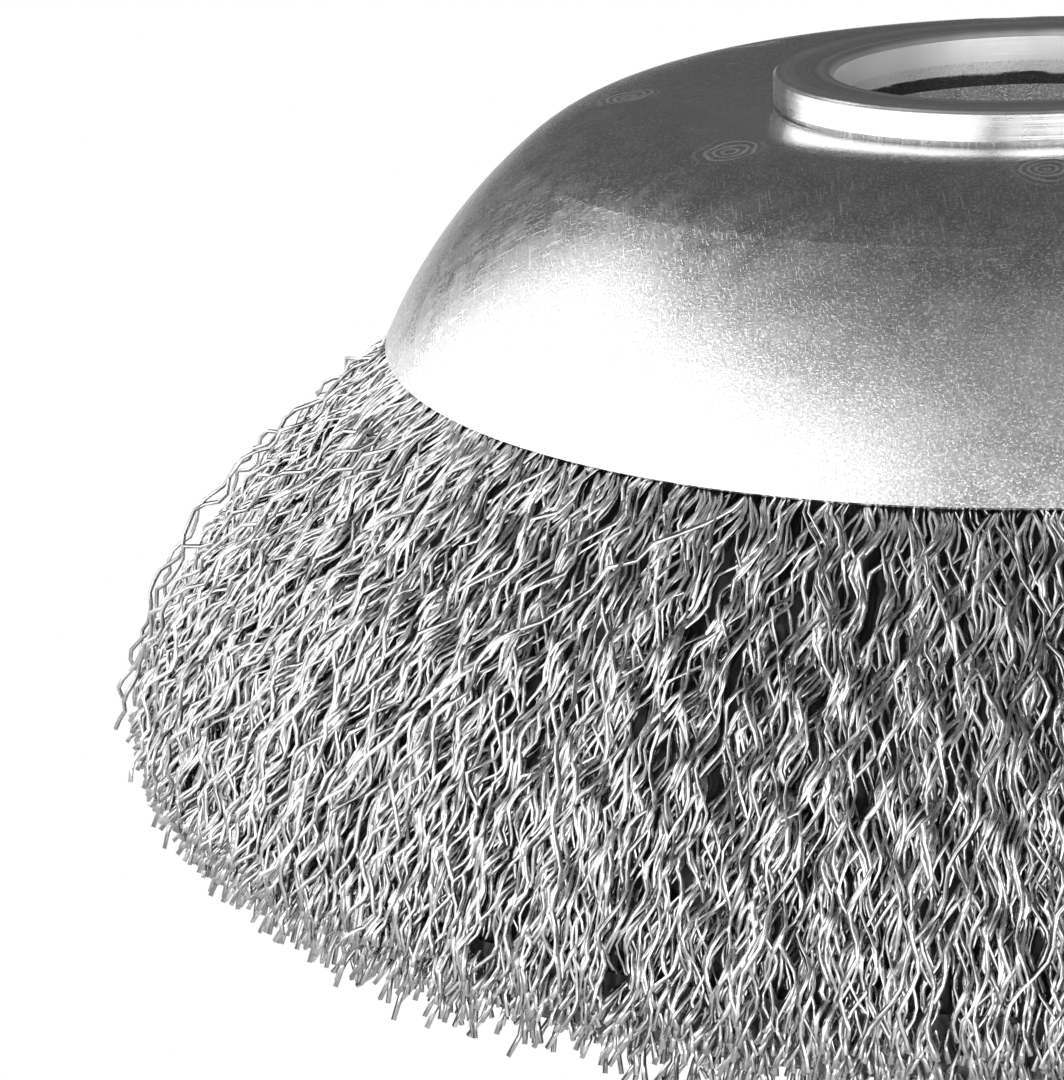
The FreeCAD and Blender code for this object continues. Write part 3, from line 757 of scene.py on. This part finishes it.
floor_white = emitter("floor_white", 0.8, 1.0)
flat_ring("floor", FLOOR_HOLE, FLOOR_RADIUS, FLOOR_LEVEL, FULL_TURN, floor_white)
bright_floor = flat_ring(
    "bright_floor", *BRIGHT_RADII, FLOOR_LEVEL + BRIGHT_RISE, BRIGHT_SWEEP,
    emitter("bright_floor", 1.7))
bright_floor.visible_camera = False
glow_below = flat_ring(
    "glow_below", *BELOW_RADII, FLOOR_LEVEL - BELOW_DROP, FULL_TURN, emitter("glow_below", 0.9))
glow_below.visible_camera = False
for panel in PANELS:
    curved_panel(*panel)

world = bpy.data.worlds.new("studio")
bpy.context.scene.world = world
world.use_nodes = True
tree = world.node_tree
tree.nodes.clear()
seen = tree.nodes.new("ShaderNodeBackground")
seen.inputs["Color"].default_value = (1, 1, 1, 1)
seen.inputs["Strength"].default_value = 1.0
around = tree.nodes.new("ShaderNodeBackground")
around.inputs["Color"].default_value = (1, 1, 1, 1)
around.inputs["Strength"].default_value = SURROUNDING_LIGHT
path = tree.nodes.new("ShaderNodeLightPath")
mix = tree.nodes.new("ShaderNodeMixShader")
out = tree.nodes.new("ShaderNodeOutputWorld")
tree.links.new(path.outputs["Is Camera Ray"], mix.inputs[0])
tree.links.new(around.outputs[0], mix.inputs[1])
tree.links.new(seen.outputs[0], mix.inputs[2])
tree.links.new(mix.outputs[0], out.inputs["Surface"])

# camera: aimed at the origin, then turned a little left, down and about its own axis
CAMERA_PLACE = Vector((0.0, -212.96, 40.52)) * MM
YAW, PITCH, ROLL = (math.radians(angle) for angle in (-8.88, -7.74, -1.28))
FOCAL_PIXELS = 3200
FRAME_HEIGHT = 1080
SENSOR_SIZE = 36

ahead = -CAMERA_PLACE.normalized()
right = ahead.cross(Vector((0, 0, 1))).normalized()
up = right.cross(ahead)
ahead, right = (
    ahead * math.cos(YAW) + right * math.sin(YAW),
    right * math.cos(YAW) - ahead * math.sin(YAW),
)
ahead, up = (
    ahead * math.cos(PITCH) + up * math.sin(PITCH),
    up * math.cos(PITCH) - ahead * math.sin(PITCH),
)
right, up = (
    right * math.cos(ROLL) + up * math.sin(ROLL),
    up * math.cos(ROLL) - right * math.sin(ROLL),
)
camera_data = bpy.data.cameras.new("camera")
camera_data.sensor_width = SENSOR_SIZE
camera_data.lens = SENSOR_SIZE * (FOCAL_PIXELS / FRAME_HEIGHT)
camera_data.clip_start = 0.01
camera = bpy.data.objects.new("camera", camera_data)
turned = Matrix((right, up, -ahead)).transposed().to_4x4()
turned.translation = CAMERA_PLACE
camera.matrix_world = turned
bpy.context.scene.collection.objects.link(camera)
bpy.context.scene.camera = camera
bpy.context.scene.view_settings.view_transform = "Standard"

bpy.context.view_layer.update()
